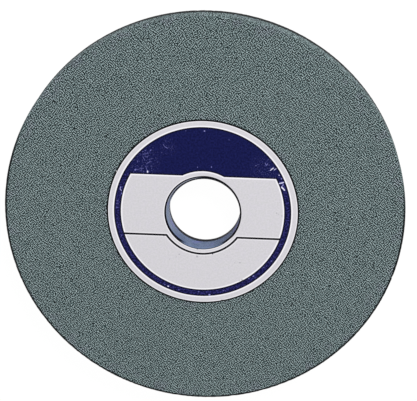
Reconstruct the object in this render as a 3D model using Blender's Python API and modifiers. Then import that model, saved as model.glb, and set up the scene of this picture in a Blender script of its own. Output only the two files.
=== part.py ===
# A bench grinding wheel, lying flat with its printed side up.
# The bore's axis is Z, and +Y is towards the top of the print.
# Z = 0 is the rear blotter's face, where the wheel seats on its flange.

import math

import bmesh
import bpy

COLLECTION_NAME = "bench_grinding_wheel"

# Abrasive disc
WHEEL_DIAMETER = 0.1778
WHEEL_THICKNESS = 0.0127
WHEEL_ARRIS = 0.0004

# Arbor bush, moulded into the disc's hole
BORE_DIAMETER = 0.03175
BORE_LEAD_IN = 0.001
BUSH_WALL = 0.0032
BUSH_CLEARANCE = 0.0003

# Paper blotters, one on each face
BLOTTER_DIAMETER = 0.0842
BLOTTER_THICKNESS = 0.0005
BLOTTER_HOLE_MARGIN = 0.00105
GLUE_LINE = 0.0003

# The front blotter was stuck on a little off centre
FRONT_BLOTTER_SHIFT_X = -0.00057
FRONT_BLOTTER_SHIFT_Y = 0.00065

# Print on the front blotter, measured from the blotter's own edges and centre
BORDER_WIDTH = 0.00297
RING_WIDTH = 0.00278
COLLAR_WIDTH = 0.00228
CAP_EDGE_HEIGHT = 0.0171
RULE_DROP = 0.0109
RULE_WIDTH = 0.00045

# Facets round each turned ring, and how far a merged or cut point may move
RING_SEGMENTS = 128
WELD_DISTANCE = 0.000001
SHARP_EDGE_ANGLE = math.radians(30)

# Heights from the rear blotter's face up to the front blotter's
REAR_FACE = BLOTTER_THICKNESS + GLUE_LINE
FRONT_FACE = REAR_FACE + WHEEL_THICKNESS
FRONT_BLOTTER_BASE = FRONT_FACE + GLUE_LINE

# Radii from the bore outwards
BORE_RADIUS = BORE_DIAMETER / 2
BUSH_RADIUS = BORE_RADIUS + BUSH_WALL
BLOTTER_HOLE_RADIUS = BORE_RADIUS + BLOTTER_HOLE_MARGIN
COLLAR_RADIUS = BLOTTER_HOLE_RADIUS + COLLAR_WIDTH
COLLAR_RULE_INSIDE = COLLAR_RADIUS - RULE_WIDTH / 2
COLLAR_RULE_OUTSIDE = COLLAR_RADIUS + RULE_WIDTH / 2
BLOTTER_RADIUS = BLOTTER_DIAMETER / 2
RING_OUTER_RADIUS = BLOTTER_RADIUS - BORDER_WIDTH
RING_INNER_RADIUS = RING_OUTER_RADIUS - RING_WIDTH
PRINT_RADII = (COLLAR_RULE_INSIDE, COLLAR_RULE_OUTSIDE, RING_INNER_RADIUS, RING_OUTER_RADIUS)

# Heights of the print's straight edges above the blotter's centre
RULE_TOP = RULE_WIDTH / 2 - RULE_DROP
RULE_BOTTOM = -RULE_WIDTH / 2 - RULE_DROP
PRINT_LINES = (CAP_EDGE_HEIGHT, RULE_TOP, RULE_BOTTOM)


def clear_scene():
    """Remove whatever the scene holds."""
    for obj in list(bpy.data.objects):
        bpy.data.objects.remove(obj, do_unlink=True)


def make_material(name, colour, roughness, metallic=0.0):
    """A Principled material of one colour."""
    material = bpy.data.materials.new(name)
    material.use_nodes = True
    shader = material.node_tree.nodes["Principled BSDF"]
    shader.inputs["Base Color"].default_value = (*colour, 1.0)
    shader.inputs["Roughness"].default_value = roughness
    shader.inputs["Metallic"].default_value = metallic
    return material


def ring_section(inner_radius, outer_radius, height, inner_cut=0.0, outer_cut=0.0, top_radii=()):
    """Section of a ring, from Z = 0 up: down its outer side, in along its base, up its bore and out again.

    Each cut is a 45 degree chamfer at both ends of the bore or of the outer side, and top_radii adds
    points along the top, from the bore outwards.
    """
    section = [
        (outer_radius - outer_cut, height),
        (outer_radius, height - outer_cut),
        (outer_radius, outer_cut),
        (outer_radius - outer_cut, 0.0),
        (inner_radius + inner_cut, 0.0),
        (inner_radius, inner_cut),
        (inner_radius, height - inner_cut),
        (inner_radius + inner_cut, height),
    ]
    section += [(radius, height) for radius in top_radii]
    return list(dict.fromkeys(section))


def turned_ring(name, section, material, collection):
    """An object that turns a closed section round Z."""
    mesh = bpy.data.meshes.new(name)
    vertices = [(radius, 0.0, height) for radius, height in section]
    edges = [(index, (index + 1) % len(section)) for index in range(len(section))]
    mesh.from_pydata(vertices, edges, [])
    obj = bpy.data.objects.new(name, mesh)
    obj.data.materials.append(material)
    collection.objects.link(obj)
    screw = obj.modifiers.new("Turn", "SCREW")
    screw.axis = "Z"
    screw.angle = math.tau
    screw.steps = RING_SEGMENTS
    screw.render_steps = RING_SEGMENTS
    screw.use_merge_vertices = True
    screw.merge_threshold = WELD_DISTANCE
    bake_modifiers(obj)
    obj.data.shade_smooth()
    obj.data.set_sharp_from_angle(angle=SHARP_EDGE_ANGLE)
    return obj


def bake_modifiers(obj):
    """Give an object the mesh that its modifiers make, so that it can be shaded and printed on."""
    bpy.context.view_layer.update()
    evaluated = obj.evaluated_get(bpy.context.evaluated_depsgraph_get())
    section_mesh = obj.data
    baked = bpy.data.meshes.new_from_object(evaluated)
    obj.modifiers.clear()
    obj.data = baked
    baked.name = obj.name
    bpy.data.meshes.remove(section_mesh)


def is_inked(x, y):
    """Whether the print covers a point: a ring, a cap above a straight edge, and a rule round a collar."""
    radius = math.hypot(x, y)
    in_ring = RING_INNER_RADIUS < radius < RING_OUTER_RADIUS
    outside_collar = COLLAR_RULE_OUTSIDE < radius < RING_OUTER_RADIUS
    in_cap = outside_collar and y > CAP_EDGE_HEIGHT
    on_straight_rule = outside_collar and RULE_BOTTOM < y < RULE_TOP
    on_collar_rule = COLLAR_RULE_INSIDE < radius < COLLAR_RULE_OUTSIDE and y < RULE_TOP
    return in_ring or in_cap or on_straight_rule or on_collar_rule


def print_on_top(obj, ink):
    """Cut the print's straight edges into a blotter and ink the faces of its top inside the print."""
    obj.data.materials.append(ink)
    ink_slot = len(obj.data.materials) - 1
    blotter = bmesh.new()
    blotter.from_mesh(obj.data)
    for height in PRINT_LINES:
        bmesh.ops.bisect_plane(
            blotter,
            geom=blotter.verts[:] + blotter.edges[:] + blotter.faces[:],
            dist=WELD_DISTANCE,
            plane_co=(0.0, height, 0.0),
            plane_no=(0.0, 1.0, 0.0),
        )
    for face in blotter.faces:
        centre = face.calc_center_median()
        if face.normal.z > 0.5 and is_inked(centre.x, centre.y):
            face.material_index = ink_slot
    blotter.to_mesh(obj.data)
    blotter.free()


def build_abrasive_wheel(collection):
    """The vitrified green silicon carbide disc, with its hole sized to the bush."""
    abrasive = make_material("green_abrasive", (0.125, 0.165, 0.168), 0.95)
    section = ring_section(
        BUSH_RADIUS + BUSH_CLEARANCE, WHEEL_DIAMETER / 2, WHEEL_THICKNESS, outer_cut=WHEEL_ARRIS
    )
    wheel = turned_ring("abrasive_wheel", section, abrasive, collection)
    wheel.location.z = REAR_FACE


def build_bore_bush(collection):
    """The moulded bush that the arbor passes through, flush with the disc and led in at both ends."""
    plastic = make_material("bush_plastic", (0.135, 0.185, 0.3), 0.45)
    section = ring_section(BORE_RADIUS, BUSH_RADIUS, WHEEL_THICKNESS, inner_cut=BORE_LEAD_IN)
    bush = turned_ring("bore_bush", section, plastic, collection)
    bush.location.z = REAR_FACE


def build_blotters(collection):
    """The plain blotter under the disc and the printed one on top of it."""
    paper = make_material("white_paper", (0.67, 0.66, 0.69), 0.6)
    ink = make_material("navy_ink", (0.009, 0.011, 0.072), 0.5)
    plain_section = ring_section(BLOTTER_HOLE_RADIUS, BLOTTER_RADIUS, BLOTTER_THICKNESS)
    turned_ring("rear_blotter", plain_section, paper, collection)
    printed_section = ring_section(
        BLOTTER_HOLE_RADIUS, BLOTTER_RADIUS, BLOTTER_THICKNESS, top_radii=PRINT_RADII
    )
    front = turned_ring("front_blotter", printed_section, paper, collection)
    print_on_top(front, ink)
    front.location = (FRONT_BLOTTER_SHIFT_X, FRONT_BLOTTER_SHIFT_Y, FRONT_BLOTTER_BASE)


def main():
    clear_scene()
    collection = bpy.data.collections.new(COLLECTION_NAME)
    bpy.context.scene.collection.children.link(collection)
    build_abrasive_wheel(collection)
    build_bore_bush(collection)
    build_blotters(collection)


main()
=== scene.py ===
"""Looks of a bench grinding wheel that lies flat, printed side up, on a pale floor.

Four turned pieces stand for the four CAD nodes: the gritty disc, the bush in its bore, and a paper
blotter on each face. Meshes are in metres, and lengths in the materials are in millimetres.
"""

import functools
import math

import bpy
import numpy as np
from mathutils import Matrix, Vector


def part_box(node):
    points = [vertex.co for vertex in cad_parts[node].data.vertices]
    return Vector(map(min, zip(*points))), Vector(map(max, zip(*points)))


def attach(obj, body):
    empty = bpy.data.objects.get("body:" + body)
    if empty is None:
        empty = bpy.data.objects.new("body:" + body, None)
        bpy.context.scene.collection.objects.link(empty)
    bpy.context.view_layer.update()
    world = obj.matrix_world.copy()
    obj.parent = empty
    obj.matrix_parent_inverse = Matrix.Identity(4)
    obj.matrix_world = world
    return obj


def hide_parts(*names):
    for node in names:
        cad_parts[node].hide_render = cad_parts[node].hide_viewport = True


MM = 0.001

# Photograph
PHOTO_WIDTH = 417
FOCAL_PIXELS = 1517.0
SENSOR_WIDTH = 36.0
CAMERA_PLACE = (0.02841, 0.20896, 0.65208)
CAMERA_AIM = (0.00185, 0.00635, 0.0135)
CAMERA_RIGHT = (0.99850, 0.02413, -0.04908)

# Floor, world and lamp
FLOOR_HALF_WIDTH = 4.0
FLOOR_GLOW = 1.04
FLOOR_GLOW_SHARE = 0.94
WORLD_LIGHT = 0.42
LAMP_SIZE = 1.1
LAMP_POWER = 84.0
LAMP_BEARING = math.radians(65)
LAMP_LIFT = math.radians(38)
LAMP_DISTANCE = 3.0

# Turned pieces: steps round each one, and lengths in metres
DISC_STEPS = 1024
BUSH_STEPS = 512
PRINTED_BLOTTER_STEPS = 1024
PLAIN_BLOTTER_STEPS = 720
GRIT_ARRIS = 0.45 * MM
MOULDED_EDGE = 0.1 * MM
BORE_LEAD_IN = 1.0 * MM
GLUE_INSET = 0.25 * MM
GLUE_OVERLAP = 0.05 * MM
WEAR_REACH = 0.5 * MM

# Grain of the disc: sizes and steps in millimetres, and the turn of its pattern in radians
GRAIN_TURN = 0.61
COARSE_GRAIN = 0.50
COARSE_STEP = 0.58
FINE_GRAIN = 0.42
FINE_STEP = 0.46
LEAST_GRAIN = 0.30
COARSE_STRENGTH = 5.2
FINE_STRENGTH = 3.6
MIDDLE_TONE = 0.262
PALE_LOSS = 0.07
PALEST_TONE = 0.82

# Pits between the grains, painted dark as the shade in them: their spacing in millimetres, and radii as
# shares of it
PIT_SPACING = 2.5
PIT_FLOOR = 0.128
PIT_MOUTH = 0.158
PIT_RIM = 0.22
PIT_DARKNESS = 3.0
PIT_RIM_PALENESS = 0.4

# Dark ring of glue stain and painted shadow round the front blotter, in millimetres: its shift from the
# blotter, and how far from the blotter's edge it is still full and where it ends
GLUE_AND_SHADOW_SHIFT = (-0.04, -0.19)
GLUE_AND_SHADOW_FULL = 0.58
GLUE_AND_SHADOW_END = 0.72

# Violet scuffs in the bore: place, outer and inner reach in millimetres, and strength
BORE_SCUFFS = [
    ((14.5, -6.6, 9.5), 4.0, 1.5, 1.0),
    ((-14.3, -6.9, 8.0), 3.0, 1.2, 0.55),
]

# Print on the front blotter, in millimetres from the print's centre. PRINT_SHIFT is that centre from
# the blotter's, and INK_SPREAD how far the ink spreads past its outlines.
RING_OUTSIDE = 39.13
RING_INSIDE = 36.35
COLLAR_RULE = 19.13
CAP_EDGE = 17.1
STRAIGHT_RULE = -10.9
PRINT_SHIFT = (-0.12, 0.04)
HALF_RULE = 0.28
INK_SPREAD = 0.18

# Cut edge of the front blotter: the nick's and the loose fibre's directions in degrees, and the place
# and size of the white at the fibre, in millimetres from the print's centre
NICK_DIRECTION = -76.9
FIBRE_DIRECTION = 155.1
FIBRE_PLACE = (-38.5, 18.0)
FIBRE_SIZE = 0.55

# Glue under each blotter, its tone as it looks on screen: painted near-black, as the shade in the gap under
# the blotter's edge
GLUE_SHADE_TONE = (24, 24, 30)

# Chips out of the disc's corners: direction in degrees, reach round and across the corner and depth
# in millimetres, how pale the chip looks, and whether it is on the front corner or the rear one
CHIPS = [
    (-17.3, 0.75, 0.7, 0.30, 1.0, "front"),
    (-16.5, 0.45, 0.4, 0.12, 0.45, "front"),
    (93.5, 0.8, 0.7, 0.18, 0.45, "rear"),
    (89.0, 0.8, 0.7, 0.18, 0.45, "rear"),
]

# Scratches through the ink down to the paper: start and end in millimetres from the print's centre,
# width in millimetres and how much of the ink is gone. Each was picked on the photograph, and
# most places were worked out through its fitted camera and then nudged to fit.
SCRATCHES = [
    (-30.1, 18.8, -29.8, 18.9, 0.50, 0.55),
    (-30.0, 18.8, -26.4, 19.7, 0.20, 0.32),
    (-24.5, 17.9, -24.6, 18.4, 0.42, 0.90),
    (-24.6, 18.4, -25.4, 20.5, 0.20, 0.42),
    (-23.4, 27.9, -23.3, 28.0, 0.40, 0.50),
    (-25.6, 27.7, -25.5, 27.7, 0.35, 0.28),
    (-23.1, 20.7, -23.0, 20.8, 0.35, 0.28),
    (-29.1, 22.8, -29.0, 22.7, 0.38, 0.40),
    (-18.5, 27.2, -18.4, 27.1, 0.38, 0.24),
    (-26.7, 25.9, -24.1, 26.7, 0.20, 0.36),
    (-25.4, 24.8, -24.2, 25.4, 0.22, 0.36),
    (-26.7, 24.8, -25.8, 23.3, 0.22, 0.36),
    (-25.1, 21.7, -23.5, 22.8, 0.22, 0.40),
    (-17.9, 30.9, -17.0, 29.7, 0.22, 0.40),
    (-17.0, 29.7, -15.9, 29.2, 0.24, 0.50),
    (-17.2, 32.9, -16.6, 31.9, 0.20, 0.22),
    (-25.7, 27.9, -25.7, 27.7, 0.36, 0.36),
    (-22.6, 18.5, -19.1, 18.6, 0.14, 0.16),
    (0.0, 37.5, 0.1, 37.5, 0.42, 0.70),
    (-8.1, 37.3, -8.0, 37.3, 0.36, 0.28),
    (10.8, 34.0, 10.9, 33.9, 0.36, 0.24),
    (-2.6, 21.0, -2.6, 21.1, 0.36, 0.45),
    (3.5, 21.3, 3.5, 21.4, 0.38, 0.55),
    (27.0, 23.9, 27.6, 23.0, 0.26, 0.55),
    (27.6, 23.0, 28.1, 23.9, 0.22, 0.42),
    (29.4, 20.8, 30.6, 22.0, 0.36, 0.92),
    (31.1, 21.1, 31.8, 21.7, 0.32, 0.80),
    (22.9, 22.7, 23.0, 22.7, 0.36, 0.36),
    (33.2, 18.8, 33.3, 18.7, 0.40, 0.85),
    (34.3, 17.2, 34.4, 17.1, 0.38, 0.62),
    (33.6, 15.0, 35.3, 15.5, 0.44, 0.85),
    (34.5, 13.6, 35.3, 14.4, 0.30, 0.70),
    (34.8, 15.2, 35.4, 14.3, 0.26, 0.45),
    (34.6, 13.3, 35.9, 12.0, 0.46, 1.00),
    (-36.3, 10.7, -36.6, 9.8, 0.30, 0.70),
    (-36.6, 9.8, -36.0, 8.9, 0.30, 0.75),
    (-35.9, 7.8, -35.9, 7.5, 0.34, 0.60),
    (-38.1, 4.4, -37.4, 4.4, 0.28, 0.40),
    (-38.1, 2.9, -37.4, 2.9, 0.28, 0.38),
    (-38.3, 1.2, -37.6, 1.1, 0.28, 0.40),
    (-37.5, -3.8, -37.5, -3.7, 0.36, 0.24),
    (-37.2, -6.8, -37.2, -6.9, 0.36, 0.30),
    (-35.9, -11.9, -35.8, -12.1, 0.36, 0.32),
    (-14.7, -35.2, -14.5, -35.3, 0.42, 0.95),
    (-16.3, -34.4, -16.1, -34.5, 0.38, 0.40),
    (-9.7, -36.7, -9.5, -36.8, 0.38, 0.42),
    (-0.9, -37.3, -0.7, -37.3, 0.38, 0.40),
    (10.2, -36.3, 10.4, -36.2, 0.38, 0.42),
    (3.8, -38.7, 4.3, -38.6, 0.34, 0.75),
    (21.4, -30.1, 21.6, -29.9, 0.38, 0.42),
    (23.4, -28.9, 23.7, -28.7, 0.42, 0.62),
    (27.9, -24.5, 28.1, -24.4, 0.38, 0.40),
    (31.3, -21.5, 31.5, -21.3, 0.38, 0.42),
]

# Scuffed patches of the print: middle, outer and inner reach in millimetres, and strength
SCUFFED_PATCHES = [
    (-27.0, 23.5, 11.0, 4.0, 1.0),
    (-16.0, 30.0, 6.0, 2.5, 0.6),
    (28.0, 21.0, 11.0, 3.0, 0.8),
]

# Specks of dirt on the bare paper: place and size in millimetres, and darkness
SPECKS = [
    (18.5, -30.8, 0.38, 0.55),
    (17.3, -31.2, 0.30, 0.40),
    (17.3, -22.6, 0.34, 0.34),
    (15.0, -22.8, 0.30, 0.18),
    (-9.9, -19.8, 0.36, 0.30),
    (-1.9, -20.5, 0.46, 0.36),
    (-11.2, -21.1, 0.32, 0.20),
    (-14.3, -22.2, 0.32, 0.14),
    (-1.8, -16.7, 0.50, 0.95),
    (32.8, 1.25, 0.34, 0.30),
    (33.6, 0.75, 0.30, 0.18),
    (35.2, 0.0, 0.34, 0.22),
    (-16.9, -11.1, 0.40, 0.95),
    (5.0, -18.95, 0.36, 0.90),
]

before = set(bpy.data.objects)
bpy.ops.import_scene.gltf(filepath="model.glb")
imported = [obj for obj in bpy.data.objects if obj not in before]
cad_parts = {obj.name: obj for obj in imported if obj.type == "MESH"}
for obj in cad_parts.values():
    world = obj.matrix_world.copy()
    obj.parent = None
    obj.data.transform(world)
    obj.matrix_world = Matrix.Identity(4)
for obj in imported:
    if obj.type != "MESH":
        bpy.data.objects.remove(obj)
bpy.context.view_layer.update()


def seen(red, green, blue):
    """A colour written as it looks on screen, 0 to 255, as the light values that a shader takes."""
    shown = np.array((red, green, blue)) / 255
    light = np.where(shown <= 0.04045, shown / 12.92, ((shown + 0.055) / 1.055) ** 2.4)
    return (*light.tolist(), 1.0)


def raw(red, green, blue):
    """A colour written as it looks on screen, 0 to 255, left for a later Gamma node to turn to light."""
    return (red / 255, green / 255, blue / 255, 1.0)


def in_millimetres(*lengths):
    """Lengths in metres, as millimetres."""
    return [length / MM for length in lengths]


def hollow_round(node):
    """Centre in X and Y, inner and outer radius, base and top of a round CAD node with a round hole."""
    low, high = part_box(node)
    centre = (low + high) / 2
    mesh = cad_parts[node].data
    places = np.empty(len(mesh.vertices) * 3)
    mesh.vertices.foreach_get("co", places)
    places = places.reshape(-1, 3)
    radii = np.hypot(places[:, 0] - centre.x, places[:, 1] - centre.y)
    return (centre.x, centre.y), radii.min(), radii.max(), low.z, high.z


def section_loop(corners):
    """Closed loop through corners, each given as radius, height, rounding and steps to the next corner.

    A corner is a quadratic curve that leaves its sides at the rounding's distance from the corner. The
    points of a straight side crowd towards its ends as (1 - cos) / 2, so that the shading stays flat.
    """
    points = np.array([corner[:2] for corner in corners])
    rounding = np.array([corner[2] for corner in corners])[:, None]
    ahead = np.roll(points, -1, axis=0) - points
    ahead /= np.linalg.norm(ahead, axis=1, keepdims=True)
    enter = points - np.roll(ahead, 1, axis=0) * rounding
    leave = points + ahead * rounding
    bend = np.linspace(0, 1, 5)[:, None]
    loop = []
    for index, corner in enumerate(corners):
        toward_corner = 2 * bend * (1 - bend) * points[index]
        loop.append((1 - bend) ** 2 * enter[index] + toward_corner + bend**2 * leave[index])
        along = (1 - np.cos(np.linspace(0, np.pi, corner[3] + 1)[1:-1, None])) / 2
        loop.append(leave[index] + (enter[(index + 1) % len(corners)] - leave[index]) * along)
    return np.concatenate(loop)


def ripple(steps, finest, seed):
    """Random unevenness round a ring: noise kept only in its waves longer than steps / finest, spread 1."""
    noise = np.random.default_rng(seed).standard_normal(steps)
    waves = np.fft.rfft(noise)
    waves *= np.exp(-((np.arange(len(waves)) / finest) ** 2))
    waves[0] = 0
    smooth = np.fft.irfft(waves, steps)
    return smooth / smooth.std()


def swell(distance, reach):
    """A round bump: 1 at distance 0, falling as a bell curve over the reach."""
    return np.exp(-((distance / reach) ** 2))


def angle_from(angle, direction):
    """Angle from a direction given in degrees, in radians between -pi and pi."""
    return (angle - math.radians(direction) + math.pi) % math.tau - math.pi


def turned_piece(name, loop, centre, steps, relief=None):
    """A closed section turned about Z: point (angle, s) = centre + radius(s) * (cos, sin)(angle), height(s).

    relief(angle, radius, height) gives the radius and height to use instead, for unevenness.
    """
    angle = np.linspace(0, math.tau, steps, endpoint=False)[:, None]
    radius = np.broadcast_to(loop[:, 0], (steps, len(loop)))
    height = np.broadcast_to(loop[:, 1], (steps, len(loop)))
    if relief:
        radius, height = relief(angle, radius, height)
    places = np.stack(
        [centre[0] + radius * np.cos(angle), centre[1] + radius * np.sin(angle), height + 0 * angle], axis=-1
    )
    row = np.arange(steps)[:, None] * len(loop)
    next_row = (np.arange(steps)[:, None] + 1) % steps * len(loop)
    along = np.arange(len(loop))[None, :]
    next_along = (along + 1) % len(loop)
    corners = np.stack([row + along, row + next_along, next_row + next_along, next_row + along], axis=-1)
    mesh = bpy.data.meshes.new(name)
    mesh.vertices.add(steps * len(loop))
    mesh.vertices.foreach_set("co", places.ravel())
    mesh.loops.add(corners.size)
    mesh.loops.foreach_set("vertex_index", corners.ravel())
    mesh.polygons.add(corners.size // 4)
    mesh.polygons.foreach_set("loop_start", np.arange(0, corners.size, 4))
    mesh.update(calc_edges=True)
    mesh.validate()
    mesh.shade_smooth()
    piece = bpy.data.objects.new(name, mesh)
    bpy.context.scene.collection.objects.link(piece)
    return piece


class Field:
    """A socket of a material's node tree. An expression on fields adds the nodes that work it out.

    Places are vector fields, in millimetres.
    """

    def __init__(self, tree, socket=None):
        self.tree = tree
        self.socket = socket

    def node(self, kind, settings=None, inputs=None, output=0):
        """Adds a node of a kind, with its settings, then its inputs, and returns one of its outputs."""
        made = self.tree.nodes.new(kind)
        for key, value in (settings or {}).items():
            setattr(made, key, value)
        for key, value in (inputs or {}).items():
            if isinstance(value, Field):
                self.tree.links.new(value.socket, made.inputs[key])
            else:
                made.inputs[key].default_value = value
        return Field(self.tree, made.outputs[output])

    def maths(self, operation, *values):
        return self.node("ShaderNodeMath", {"operation": operation}, dict(enumerate(values)))

    def __add__(self, other):
        return self.maths("ADD", self, other)

    __radd__ = __add__

    def __sub__(self, other):
        return self.maths("SUBTRACT", self, other)

    def __rsub__(self, other):
        return self.maths("SUBTRACT", other, self)

    def __mul__(self, other):
        return self.maths("MULTIPLY", self, other)

    __rmul__ = __mul__

    def __neg__(self):
        return self.maths("MULTIPLY", self, -1.0)

    def __abs__(self):
        return self.maths("ABSOLUTE", self)

    def least(self, other):
        return self.maths("MINIMUM", self, other)

    def most(self, other):
        return self.maths("MAXIMUM", self, other)

    def rise(self, start, end):
        """0 below start and 1 above end, with a smooth step between. Falls instead where end is lower."""
        return self.node(
            "ShaderNodeMapRange",
            {"interpolation_type": "SMOOTHSTEP"},
            {"Value": self, "From Min": start, "From Max": end},
        )

    def vector(self, operation, *values, output=0):
        return self.node("ShaderNodeVectorMath", {"operation": operation}, dict(enumerate(values)), output)

    def shifted(self, offset):
        return self.vector("ADD", self, offset)

    def scaled(self, factor):
        """A vector times a number or a plain field."""
        return self.node("ShaderNodeVectorMath", {"operation": "SCALE"}, {0: self, "Scale": factor})

    def flat(self):
        """The same place with its height left out."""
        return self.vector("MULTIPLY", self, (1.0, 1.0, 0.0))

    def length(self):
        return self.vector("LENGTH", self, output=1)

    def distance(self, place):
        return self.vector("DISTANCE", self, place, output=1)

    def turned(self, turn, scale=(1, 1, 1)):
        """The same place in a pattern that is turned about Z and stretched, so that its grid doesn't show."""
        turn = (0.0, 0.0, turn)
        return self.node("ShaderNodeMapping", {}, {"Vector": self, "Rotation": turn, "Scale": scale})

    def parts(self):
        """The X, Y and Z of a place, as three fields."""
        split = self.node("ShaderNodeSeparateXYZ", {}, {"Vector": self})
        return [Field(self.tree, output) for output in split.socket.node.outputs]

    def cloud(self, size, detail=2.0, roughness=0.5, output=0):
        """Soft noise about 0.5 with features of a size in millimetres."""
        inputs = {"Vector": self, "Scale": 1 / size, "Detail": detail, "Roughness": roughness}
        return self.node("ShaderNodeTexNoise", {}, inputs, output)

    def speckle(self, size, step, turn):
        """Noise less its average at four places a step away: only features near that size are left."""
        around = []
        for quarter in range(4):
            angle = turn + quarter * math.pi / 2
            offset = (step * math.cos(angle), step * math.sin(angle), 0.0)
            around.append(self.shifted(offset).cloud(size, 0.0))
        return self.cloud(size, 0.0) - functools.reduce(Field.__add__, around) * 0.25

    def grains(self, size):
        """Distance from the nearest grain's middle, as a share of the grains' spacing in millimetres."""
        return self.node("ShaderNodeTexVoronoi", {}, {"Vector": self, "Scale": 1 / size}, "Distance")

    def blend(self, first, second):
        """The first colour where this field is 0 and the second where it is 1."""
        return self.node("ShaderNodeMix", {"data_type": "RGBA"}, {0: self, 6: first, 7: second}, 2)

    def stroke(self, start, end, width):
        """1 on a straight stroke from start to end and 0 from its width outwards."""
        span = Vector(end) - Vector(start)
        away = self.vector("SUBTRACT", self, (*start, 0.0))
        along = self.vector("DOT_PRODUCT", away, (*(span / span.length_squared), 0.0), output=1)
        along = along.least(1.0).most(0.0)
        foot = self.node("ShaderNodeVectorMath", {"operation": "SCALE"}, {0: (*span, 0.0), "Scale": along})
        return away.distance(foot).rise(width, width * 0.35)

    def dot(self, place, radius):
        """1 in the middle of a round dot and 0 from its radius outwards."""
        return self.distance((*place, 0.0)).rise(radius, radius * 0.3)


def highest(fields):
    """The highest of several fields at each place."""
    return functools.reduce(Field.most, fields)


def new_finish(name, roughness, specular=0.5):
    """A new material with one Principled shader, and its Object coordinates in millimetres."""
    material = bpy.data.materials.new(name)
    material.use_nodes = True
    tree = material.node_tree
    shader = tree.nodes["Principled BSDF"]
    shader.inputs["Roughness"].default_value = roughness
    shader.inputs["Specular IOR Level"].default_value = specular
    place = Field(tree).node("ShaderNodeTexCoord", output="Object")
    return material, shader, place.scaled(1 / MM)


def feed(shader, name, field):
    """Links a field to one of the shader's sockets."""
    field.tree.links.new(field.socket, shader.inputs[name])


def raise_surface(shader, height, strength, distance):
    """Bumps the shader's normal by a height field, whose full range stands for a distance in metres."""
    bump = height.node("ShaderNodeBump", {}, {"Strength": strength, "Distance": distance, "Height": height})
    feed(shader, "Normal", bump)


def corner_place(direction, radius, height):
    """A place on the disc's corner in a direction given in degrees."""
    turn = math.radians(direction)
    return radius * math.cos(turn), radius * math.sin(turn), height


def grit_grain(weave):
    """Dark and light grains at two sizes with open pits: their tone, a small unevenness and their height.

    Each noise is read at a place of its own, so that no two of them line up.
    """
    fine = weave.shifted((57.3, 44.6, 0.0)).speckle(FINE_GRAIN, FINE_STEP, GRAIN_TURN)
    coarse = weave.speckle(COARSE_GRAIN, COARSE_STEP, GRAIN_TURN)
    clump = coarse * COARSE_STRENGTH + fine * FINE_STRENGTH
    least = weave.shifted((31.7, 12.9, 0.0)).cloud(LEAST_GRAIN, 0.0) - 0.5
    hole = weave.shifted((19.1, 3.7, 0.0)).grains(PIT_SPACING)
    pit = hole.rise(PIT_MOUTH, PIT_FLOOR)
    pit_rim = hole.rise(PIT_RIM, PIT_MOUTH) * (1.0 - pit)
    tone = (MIDDLE_TONE + clump - clump * clump * PALE_LOSS).least(PALEST_TONE)
    # The pits are painted dark, as the shade in the open pores, and their rims are paler.
    tone = tone - pit * PIT_DARKNESS + pit_rim * PIT_RIM_PALENESS
    return tone, least, clump + least * 0.5 - pit * 0.5


def grit_finish(label, radius, base, top):
    """Fired grit, violet in patches near its edges, with pale chips, dark corners and a dark ring round the
    blotter.

    The corners are darkened by dirt and painted shade, the rear one in a band up from the floor. The
    darkening is widest on the disc's upper side, +Y, where the photograph shows a dark edge. The ring round
    the front blotter is glue stain with a painted shadow of its edge. Lengths are in millimetres, and label
    is the front blotter's centre in X and Y and its radius.
    """
    material, shader, place = new_finish("green_grit", 0.92, 0.25)
    x, y, height = place.parts()
    flat = place.flat()
    from_axis = flat.length()
    on_side = from_axis.rise(radius - 0.5, radius - 0.1)
    weave = place.node("ShaderNodeCombineXYZ", {}, {0: x, 1: y, 2: height * on_side})
    tone, least, relief = grit_grain(weave.turned(GRAIN_TURN))
    drift = place.cloud(34.0, 1.0) - 0.5
    tone = (tone + drift * 0.03 - on_side * 0.03).least(1.0).most(0.0)

    label_x, label_y, label_radius = label
    from_label = flat.distance((label_x + GLUE_AND_SHADOW_SHIFT[0], label_y + GLUE_AND_SHADOW_SHIFT[1], 0.0))
    on_front = height.rise(top - 0.35, top - 0.15)
    # Dark ring round the front blotter: glue stain with a painted shadow of the blotter's edge.
    glue_stain_and_shadow = from_label.rise(label_radius + GLUE_AND_SHADOW_END, label_radius + GLUE_AND_SHADOW_FULL) * on_front
    patches = place.cloud(5.0, 1.0)
    # Dark corners of dirt and painted shade: a band up from the floor at the rear corner, a thin line at the
    # front one.
    below_top = (y + x * 0.13).rise(34.0, 8.0)
    rear_corner = (height - base + least * 2.0 + (patches - 0.5) * 2.0 + below_top * 3.0).rise(6.0, 3.8)
    rear_corner = rear_corner * from_axis.rise(radius - 0.6, radius - 0.3)
    front_corner = (top - height).rise(0.9, 0.4) * from_axis.rise(radius - 1.05, radius - 0.80)
    dirt_and_shade = rear_corner.most(front_corner * below_top)
    chips = []
    for direction, reach, _, _, pale, face in CHIPS:
        spot = corner_place(direction, radius, top if face == "front" else base)
        chips.append(place.distance(spot).rise(reach, reach * 0.5) * pale)

    green = tone.blend(raw(0, 21, 23), raw(195, 213, 214))
    violet = tone.blend(raw(6, 17, 25), raw(203, 209, 222))
    near_edge = from_axis.rise(radius - 9.0, radius - 1.0)
    near_edge = near_edge.most(from_label.rise(label_radius + 6.0, label_radius))
    colour = (patches.rise(0.48, 0.68) * near_edge * (0.55 - on_side * 0.25)).blend(green, violet)
    colour = (dirt_and_shade * 0.96).blend(colour, raw(10, 16, 18))
    colour = highest(chips).blend(colour, raw(236, 240, 240))
    colour = (glue_stain_and_shadow * 0.96).blend(colour, raw(6, 9, 12))
    feed(shader, "Base Color", colour.node("ShaderNodeGamma", {}, {"Color": colour, "Gamma": 2.2}))
    feed(shader, "Roughness", 0.95 - least * 0.4)
    raise_surface(shader, relief, 0.5, 0.25 * MM)
    return material


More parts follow.
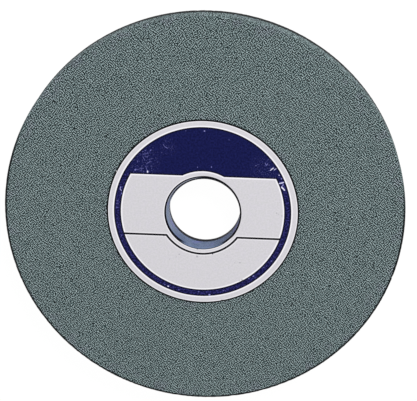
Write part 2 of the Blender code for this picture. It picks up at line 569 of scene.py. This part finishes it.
def bush_finish(bore, base, top, paper_hole):
    """Moulded blue-grey plastic with a faint cloud, violet scuffs and painted shade at the rear of the bore.

    The left wall is paler with painted light, and the mouth's lip has painted shade along its upper side and
    painted light at its upper left; a painted shadow lies under the paper's edge. These are painted in fixed
    places, where the photograph shows them. Lengths are in millimetres, and paper_hole is the hole's centre
    in X and Y and its radius.
    """
    material, shader, place = new_finish("blue_grey_bush", 0.5, 0.06)
    x, y, height = place.parts()
    flat = place.flat()
    cloud = place.cloud(5.0, 3.0, 0.55)
    scuffs = []
    for spot, outer, inner, strength in BORE_SCUFFS:
        scuffs.append(place.distance(spot).rise(outer, inner) * strength)
    scuffs.append(place.shifted((11.0, 3.0, 8.0)).cloud(6.0, 2.0).rise(0.52, 0.72) * 0.6)
    # Painted shade: near-black over the lowest few millimetres of the bore, towards the floor.
    rear_bore_shade = height.rise(base + 4.7, base + 4.0)
    mouth = height.rise(top - 1.6, top - 1.2)
    paper_x, paper_y, paper_radius = paper_hole
    # Painted shadow under the front paper's edge, on the bush's lip.
    paper_edge_shadow = flat.distance((paper_x, paper_y, 0.0)).rise(paper_radius - 0.72, paper_radius - 0.52)
    paper_edge_shadow = paper_edge_shadow * height.rise(top - 1.9, top - 1.5) * y.rise(-14.8, -12.8)
    # Painted light on the lip at the upper left, and painted shade along the lip's upper side.
    painted_light_lip = flat.length().rise(bore + 0.72, bore + 0.90) * (y * 0.5 - x * 0.85).rise(9.0, 12.0)
    painted_shade_lip = (x * 0.34 + y * 0.94).rise(-3.0, 7.0) * mouth * (1.0 - painted_light_lip)
    colour = cloud.rise(0.3, 0.7).blend(seen(88, 103, 132), seen(108, 122, 151))
    # Painted light: the left wall is paler.
    colour = x.rise(-11.0, -15.5).blend(colour, seen(122, 134, 158))
    colour = (painted_light_lip * mouth).blend(colour, seen(150, 154, 168))
    colour = (highest(scuffs) * 0.85).blend(colour, seen(114, 110, 184))
    colour = rear_bore_shade.blend(colour, seen(4, 5, 18))
    colour = paper_edge_shadow.most(painted_shade_lip).blend(colour, seen(5, 5, 17))
    feed(shader, "Base Color", colour)
    feed(shader, "Roughness", 0.42 + cloud * 0.2)
    raise_surface(shader, cloud + place.cloud(0.8, 1.0) * 0.3, 0.3, 0.08 * MM)
    return material


def paper_fibre(flat):
    """Height of the paper's fibres, which cross at two angles, about 0.5."""
    along = flat.turned(0.5, (1.0, 3.2, 1.0)).cloud(0.55, 2.0)
    across = flat.turned(-0.9, (3.0, 1.0, 1.0)).cloud(0.6, 1.0)
    return (along + across) * 0.5


def ink_layout(flat):
    """Distances from the ink's edges, below 0 inside: of the ring, of ring and cap, and of the thin rules."""
    x, y, _ = flat.parts()
    radius = flat.length()
    ring = (radius - RING_OUTSIDE).most(RING_INSIDE - radius)
    within = (radius - RING_OUTSIDE).most(COLLAR_RULE + HALF_RULE - radius)
    cap = within.most(CAP_EDGE - y)
    straight_rule = within.most(abs(y - STRAIGHT_RULE) - HALF_RULE)
    collar_rule = (abs(radius - COLLAR_RULE) - HALF_RULE).most(y - (STRAIGHT_RULE + HALF_RULE))
    return ring, ring.least(cap), straight_rule.least(collar_rule)


def ink_wear(flat, ring, below_cap):
    """How scuffed the print is, and how much of its ink is gone."""
    sway = flat.vector("SUBTRACT", flat.cloud(0.9, output="Color"), (0.5, 0.5, 0.5)).scaled(0.5)
    swayed = flat.vector("ADD", flat, sway)
    worn = [swayed.stroke((x0, y0), (x1, y1), width) * gone for x0, y0, x1, y1, width, gone in SCRATCHES]
    scuffed = []
    for x, y, outer, inner, strength in SCUFFED_PATCHES:
        scuffed.append(flat.distance((x, y, 0.0)).rise(outer, inner) * strength)
    scuffed.append(ring.rise(0.0, -0.8) * below_cap * 0.55)
    scuffed = highest(scuffed)
    flecks = flat.shifted((3.3, 8.1, 0.0)).grains(0.85).rise(0.30, 0.12)
    flecks = flecks * flat.cloud(2.4, 1.0).rise(0.45, 0.62)
    worn.append(flecks * scuffed * 0.42)
    worn.append(flat.cloud(0.5, 0.0).rise(0.60, 0.80) * scuffed * 0.42)
    return scuffed, highest(worn)


def navy_ink(flat, depth, ring, broad, below_cap, scuffed):
    """Mottled navy, darkest along its edges, and thinner in the ring and where it is scuffed."""
    mottle = flat.cloud(0.8, 2.0)
    cap_navy = mottle.rise(0.25, 0.75).blend(seen(2, 5, 54), seen(20, 25, 82))
    ring_navy = mottle.rise(0.25, 0.75).blend(seen(0, 0, 42), seen(12, 14, 70))
    navy = (ring.rise(0.0, -0.4) * below_cap).blend(cap_navy, ring_navy)
    rim = broad.rise(0.05, -0.05).blend(seen(0, 0, 8), seen(0, 0, 34))
    navy = depth.rise(0.56, 0.90).blend(rim, navy)
    thinner = depth.rise(0.55, 0.9) * ring.rise(0.0, -0.6) * below_cap * mottle.rise(0.46, 0.66)
    navy = thinner.blend(navy, seen(50, 48, 116))
    rubbed = flat.cloud(1.2, 2.0).rise(0.5, 0.75) * depth.rise(0.45, 0.8) * (0.15 + scuffed * 0.3)
    return rubbed.blend(navy, seen(40, 42, 104))


def bare_paper(flat, cleaner):
    """Off-white paper with a faint violet cloud, whiter where it is cleaner, and specks of dirt."""
    paper = flat.cloud(0.8, 1.0).rise(0.25, 0.75).blend(seen(210, 209, 212), seen(219, 216, 222))
    paper = (flat.cloud(2.5, 2.0).rise(0.4, 0.7) * 0.03).blend(paper, seen(206, 184, 255))
    paper = cleaner.blend(paper, seen(252, 250, 255))
    for x, y, size, dark in SPECKS:
        paper = (flat.dot((x, y), size * 1.5) * dark).blend(paper, seen(70, 70, 84))
    return paper


def printed_paper_finish(centre_x, centre_y, radius, hole, glue_height):
    """White blotter paper with a navy ring, cap and rule, worn ink, a dark cut edge and a glue line in
    painted shade.

    The paper is whiter beside the ink and the cut, and the lip of its hole has painted shade on the right
    side.
    Both are painted, as the photograph shows them. Lengths are in millimetres.
    """
    material, shader, place = new_finish("navy_printed_paper", 0.55, 0.1)
    centred = place.shifted((-centre_x, -centre_y, 0.0))
    from_centre = centred.flat().length()
    printed = centred.shifted((-PRINT_SHIFT[0], -PRINT_SHIFT[1], 0.0))
    x, y, height = printed.parts()
    flat = printed.flat()
    ring, broad, thin = ink_layout(flat)
    off_ink = broad.least(thin) - INK_SPREAD
    fray = (flat.cloud(0.5, 2.0) - 0.5) * 0.12
    inked = (off_ink + fray).rise(0.07, -0.07)
    below_cap = y.rise(CAP_EDGE + 1.0, CAP_EDGE - 1.0)
    scuffed, worn = ink_wear(flat, ring, below_cap)
    ink = navy_ink(flat, -off_ink, ring, broad, below_cap, scuffed)
    ink = worn.rise(0.0, 0.75).blend(ink, seen(126, 126, 196))
    ink = worn.rise(0.6, 1.0).blend(ink, seen(240, 240, 250))

    edge = (radius - from_centre).least(from_centre - hole)
    beside_broad = (broad - INK_SPREAD).rise(0.75, 0.38)
    beside_thin = (thin - INK_SPREAD).rise(0.62, 0.30) * 0.6
    paper = bare_paper(flat, highest([beside_broad, beside_thin, edge.rise(0.55, 0.35)]))
    colour = inked.blend(paper, ink)
    # Painted shade on the lip of the hole along its right side.
    right_side = x.rise(-6.0, 2.0) * y.rise(-12.5, -10.0)
    painted_shade_lip = (from_centre - hole).rise(0.40, 0.24) * right_side
    colour = edge.rise(0.19, 0.08).most(painted_shade_lip).blend(colour, seen(14, 14, 20))
    colour = flat.dot(FIBRE_PLACE, FIBRE_SIZE).blend(colour, seen(255, 255, 255))
    glue = height.rise(glue_height + 0.08, glue_height - 0.04)
    # The glue under the paper is painted near-black, as the shade under the paper's edge.
    feed(shader, "Base Color", glue.blend(colour, seen(*GLUE_SHADE_TONE)))
    feed(shader, "Roughness", 0.62 - inked * 0.14)
    raise_surface(shader, paper_fibre(flat) + inked * 0.2 * (1.0 - worn), 0.25, 0.05 * MM)
    return material


def plain_paper_finish(glue_height):
    """The rear blotter's plain paper, a little grey from handling. The glue's height is in millimetres."""
    material, shader, place = new_finish("plain_blotter_paper", 0.62, 0.3)
    _, _, height = place.parts()
    flat = place.flat()
    fibre = paper_fibre(flat)
    paper = fibre.rise(0.2, 0.8).blend(seen(206, 204, 208), seen(217, 215, 219))
    soil = flat.cloud(14.0, 3.0, 0.6).rise(0.5, 0.8)
    paper = (soil * 0.3).blend(paper, seen(178, 176, 178))
    glue = height.rise(glue_height - 0.08, glue_height + 0.04)
    # The glue under the paper is painted near-black, as the shade under the paper's edge.
    feed(shader, "Base Color", glue.blend(paper, seen(*GLUE_SHADE_TONE)))
    feed(shader, "Roughness", 0.6 + fibre * 0.1)
    raise_surface(shader, fibre, 0.3, 0.06 * MM)
    return material


def add_piece(piece, node, material):
    """Dresses a piece, lets it ride on the wheel and stand for its CAD node."""
    piece.data.materials.append(material)
    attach(piece, "root")
    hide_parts(node)


def grit_disc():
    """The abrasive disc: flat faces, crumbled corners and the chips knocked out of them."""
    centre, hole, radius, base, top = hollow_round("abrasive_wheel")
    label_centre, _, label_radius, _, _ = hollow_round("front_blotter")
    loop = section_loop(
        [
            (radius, top, GRIT_ARRIS, 16),
            (radius, base, GRIT_ARRIS, 24),
            (hole, base, MOULDED_EDGE, 4),
            (hole, top, MOULDED_EDGE, 24),
        ]
    )
    crumble = [np.abs(ripple(DISC_STEPS, finest=260, seed=seed))[:, None] for seed in (3, 5)]
    corners = {"front": (top, 1), "rear": (base, -1)}

    def worn_corners(angle, radius_here, height):
        new_radius, new_height = radius_here.copy(), height.copy()
        for (edge, outwards), worn in zip(corners.values(), crumble):
            near = swell(np.hypot(radius_here - radius, height - edge), WEAR_REACH)
            lost = near * np.minimum(worn, 2.2)
            new_radius -= lost * 0.06 * MM
            new_height -= outwards * lost * 0.05 * MM
        for direction, reach, across, depth, _, face in CHIPS:
            edge, outwards = corners[face]
            round_it = swell(angle_from(angle, direction) * radius, reach * 0.7 * MM)
            across_it = swell(np.hypot(radius_here - radius, height - edge), across * MM)
            dent = round_it * across_it * depth * MM
            new_radius -= dent
            new_height -= outwards * dent
        return new_radius, new_height

    piece = turned_piece("grit_disc", loop, centre, DISC_STEPS, worn_corners)
    label = in_millimetres(*label_centre, label_radius)
    finish = grit_finish(label, *in_millimetres(radius, base, top))
    add_piece(piece, "abrasive_wheel", finish)


def bore_bush():
    """The moulded bush, flush with the disc, with a lead-in at both ends of its bore."""
    centre, bore, outside, base, top = hollow_round("bore_bush")
    loop = section_loop(
        [
            (outside, top, MOULDED_EDGE, 4),
            (outside, base, MOULDED_EDGE, 4),
            (bore + BORE_LEAD_IN, base, 0.12 * MM, 3),
            (bore, base + BORE_LEAD_IN, 0.2 * MM, 20),
            (bore, top - BORE_LEAD_IN, 0.2 * MM, 3),
            (bore + BORE_LEAD_IN, top, 0.12 * MM, 4),
        ]
    )
    piece = turned_piece("arbor_bush", loop, centre, BUSH_STEPS)
    paper_centre, paper_hole, _, _, _ = hollow_round("front_blotter")
    paper_hole = in_millimetres(*paper_centre, paper_hole)
    finish = bush_finish(*in_millimetres(bore, base, top), paper_hole)
    add_piece(piece, "bore_bush", finish)


def printed_blotter():
    """The front blotter: cut paper on a thin glue line, with a nick and a loose fibre at its edge."""
    centre, hole, radius, base, top = hollow_round("front_blotter")
    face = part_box("abrasive_wheel")[1].z - GLUE_OVERLAP
    loop = section_loop(
        [
            (radius, top, 0.09 * MM, 3),
            (radius, base, 0.04 * MM, 2),
            (radius - GLUE_INSET, base, 0.02 * MM, 2),
            (radius - GLUE_INSET, face, 0.02 * MM, 8),
            (hole + GLUE_INSET, face, 0.02 * MM, 2),
            (hole + GLUE_INSET, base, 0.02 * MM, 2),
            (hole, base, 0.04 * MM, 2),
            (hole, top, 0.07 * MM, 30),
        ]
    )
    cut = ripple(PRINTED_BLOTTER_STEPS, finest=170, seed=11)[:, None]

    def cut_edge(angle, radius_here, height):
        near = swell(radius - radius_here, WEAR_REACH)
        nick = swell(angle_from(angle, NICK_DIRECTION) * radius, 0.7 * MM) * 0.22
        fibre = swell(angle_from(angle, FIBRE_DIRECTION) * radius, 0.35 * MM) * 0.55
        return radius_here + near * (cut * 0.035 - nick + fibre) * MM, height

    piece = turned_piece("printed_blotter", loop, centre, PRINTED_BLOTTER_STEPS, cut_edge)
    finish = printed_paper_finish(*in_millimetres(*centre, radius, hole, base))
    add_piece(piece, "front_blotter", finish)


def plain_blotter():
    """The rear blotter: plain cut paper under a thin glue line."""
    centre, hole, radius, base, top = hollow_round("rear_blotter")
    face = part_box("abrasive_wheel")[0].z + GLUE_OVERLAP
    loop = section_loop(
        [
            (radius, top, 0.04 * MM, 3),
            (radius, base, 0.09 * MM, 24),
            (hole, base, 0.07 * MM, 3),
            (hole, top, 0.04 * MM, 2),
            (hole + GLUE_INSET, top, 0.02 * MM, 2),
            (hole + GLUE_INSET, face, 0.02 * MM, 8),
            (radius - GLUE_INSET, face, 0.02 * MM, 2),
            (radius - GLUE_INSET, top, 0.02 * MM, 2),
        ]
    )
    cut = ripple(PLAIN_BLOTTER_STEPS, finest=120, seed=17)[:, None]

    def cut_edge(angle, radius_here, height):
        return radius_here + swell(radius - radius_here, WEAR_REACH) * cut * 0.03 * MM, height

    piece = turned_piece("plain_blotter", loop, centre, PLAIN_BLOTTER_STEPS, cut_edge)
    add_piece(piece, "rear_blotter", plain_paper_finish(top / MM))


def white_to_the_eye(tree):
    """1 for the rays that show the background, in the picture, in a reflection or through something."""
    path = Field(tree).node("ShaderNodeLightPath", output="Is Camera Ray")
    outputs = path.socket.node.outputs
    return path.most(Field(tree, outputs["Is Glossy Ray"])).most(Field(tree, outputs["Is Transmission Ray"]))


def pale_floor():
    """A wide white floor under the wheel, mostly of its own light to the eye but with the shadow left in."""
    half = FLOOR_HALF_WIDTH
    corners = [(-half, -half, 0), (half, -half, 0), (half, half, 0), (-half, half, 0)]
    mesh = bpy.data.meshes.new("pale_floor")
    mesh.from_pydata(corners, [], [(0, 1, 2, 3)])
    floor = bpy.data.objects.new("pale_floor", mesh)
    bpy.context.scene.collection.objects.link(floor)
    material = bpy.data.materials.new("pale_floor")
    material.use_nodes = True
    tree = material.node_tree
    tree.nodes.clear()
    start = Field(tree)
    matt = start.node("ShaderNodeBsdfDiffuse", {}, {"Color": (0.8, 0.8, 0.8, 1.0)})
    glow = start.node("ShaderNodeEmission", {}, {"Color": (1.0, 1.0, 1.0, 1.0), "Strength": FLOOR_GLOW})
    share = white_to_the_eye(tree) * FLOOR_GLOW_SHARE
    mixed = start.node("ShaderNodeMixShader", {}, {0: share, 1: matt, 2: glow})
    output = tree.nodes.new("ShaderNodeOutputMaterial")
    tree.links.new(mixed.socket, output.inputs["Surface"])
    mesh.materials.append(material)


def studio_light():
    """A white world at a plain level and one soft lamp high behind the wheel's right."""
    world = bpy.data.worlds.new("studio")
    bpy.context.scene.world = world
    world.use_nodes = True
    tree = world.node_tree
    strength = WORLD_LIGHT + white_to_the_eye(tree) * (1 - WORLD_LIGHT)
    tree.links.new(strength.socket, tree.nodes["Background"].inputs["Strength"])
    tree.nodes["Background"].inputs["Color"].default_value = (1.0, 1.0, 1.0, 1.0)
    lamp = bpy.data.lights.new("soft_key", "AREA")
    lamp.size = LAMP_SIZE
    lamp.energy = LAMP_POWER
    key = bpy.data.objects.new("soft_key", lamp)
    bpy.context.scene.collection.objects.link(key)
    ahead = (math.cos(LAMP_BEARING), math.sin(LAMP_BEARING))
    away = Vector((ahead[0] * math.cos(LAMP_LIFT), ahead[1] * math.cos(LAMP_LIFT), math.sin(LAMP_LIFT)))
    key.location = away * LAMP_DISTANCE
    key.rotation_euler = away.to_track_quat("Z", "Y").to_euler()


def photo_camera():
    """The camera where the photograph's was, fitted to circles along the wheel's edges and then nudged."""
    data = bpy.data.cameras.new("photo_camera")
    data.sensor_width = SENSOR_WIDTH
    data.lens = FOCAL_PIXELS / PHOTO_WIDTH * SENSOR_WIDTH
    data.clip_start = 0.01
    camera = bpy.data.objects.new("photo_camera", data)
    bpy.context.scene.collection.objects.link(camera)
    back = (Vector(CAMERA_PLACE) - Vector(CAMERA_AIM)).normalized()
    up = back.cross(Vector(CAMERA_RIGHT)).normalized()
    turn = Matrix((up.cross(back), up, back)).transposed().to_4x4()
    camera.matrix_world = Matrix.Translation(CAMERA_PLACE) @ turn
    bpy.context.scene.camera = camera


photo_camera()
grit_disc()
bore_bush()
printed_blotter()
plain_blotter()
pale_floor()
studio_light()
bpy.context.scene.view_settings.view_transform = "Standard"
